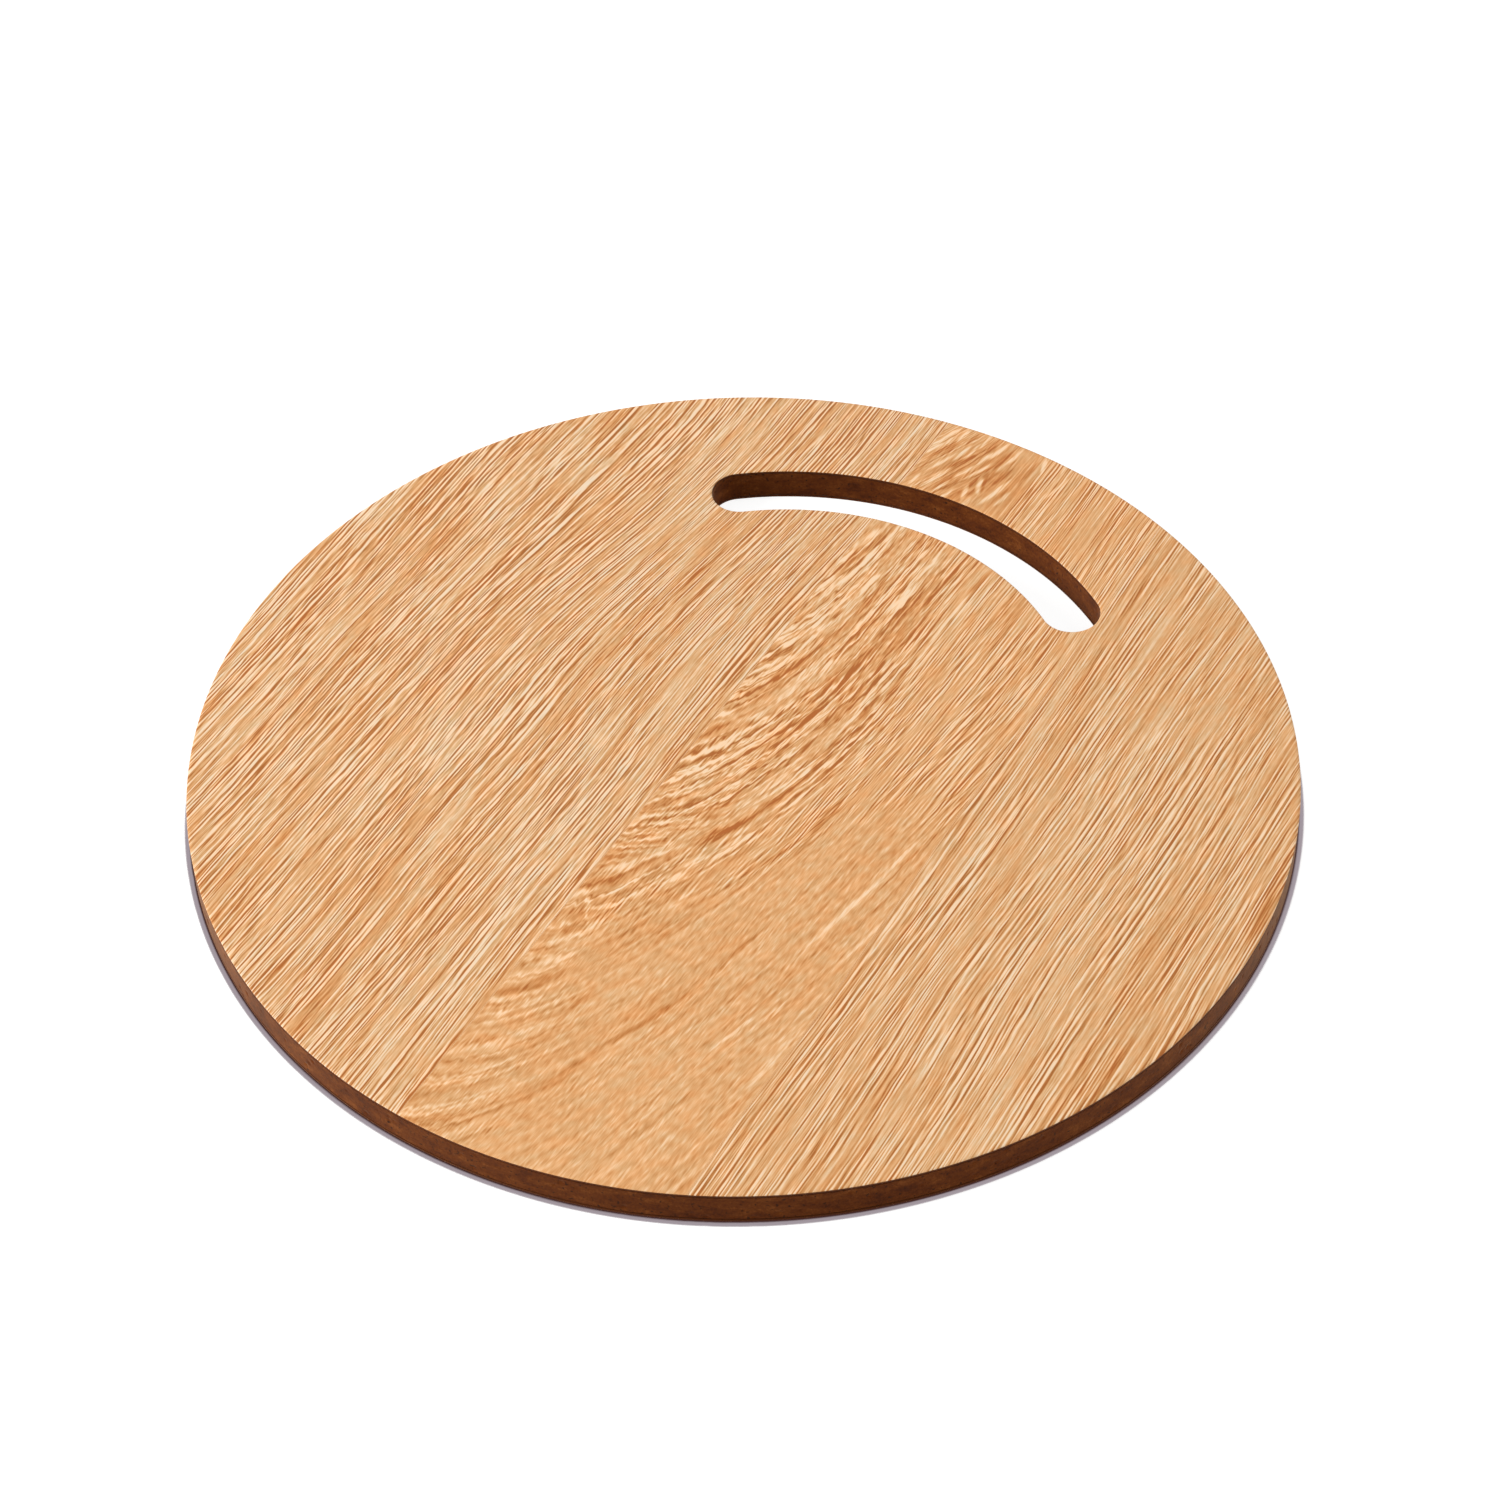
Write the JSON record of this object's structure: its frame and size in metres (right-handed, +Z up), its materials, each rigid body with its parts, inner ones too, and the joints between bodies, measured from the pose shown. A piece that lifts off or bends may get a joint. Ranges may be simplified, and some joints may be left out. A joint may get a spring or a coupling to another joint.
{
  "type": "round cutting board",
  "caption": "Thin round laminated cutting board with a woodgrain face, a dark fibreboard edge and a curved hand slot near the rim.",
  "frame": {"origin": "middle of the underside, on the face that the board lies on", "axes": "+Z up, square to the board; +Y from the middle to the hand slot, and along the printed grain; +X to the right of the slot"},
  "size_m": [0.3, 0.3, 0.01],
  "materials": {
    "raw_fibreboard": "matte",
    "woodgrain_decor": "satin"
  },
  "bodies": {
    "root": {"core_board": "raw_fibreboard", "bottom_laminate": "woodgrain_decor", "top_laminate": "woodgrain_decor"}
  },
  "joints": []
}
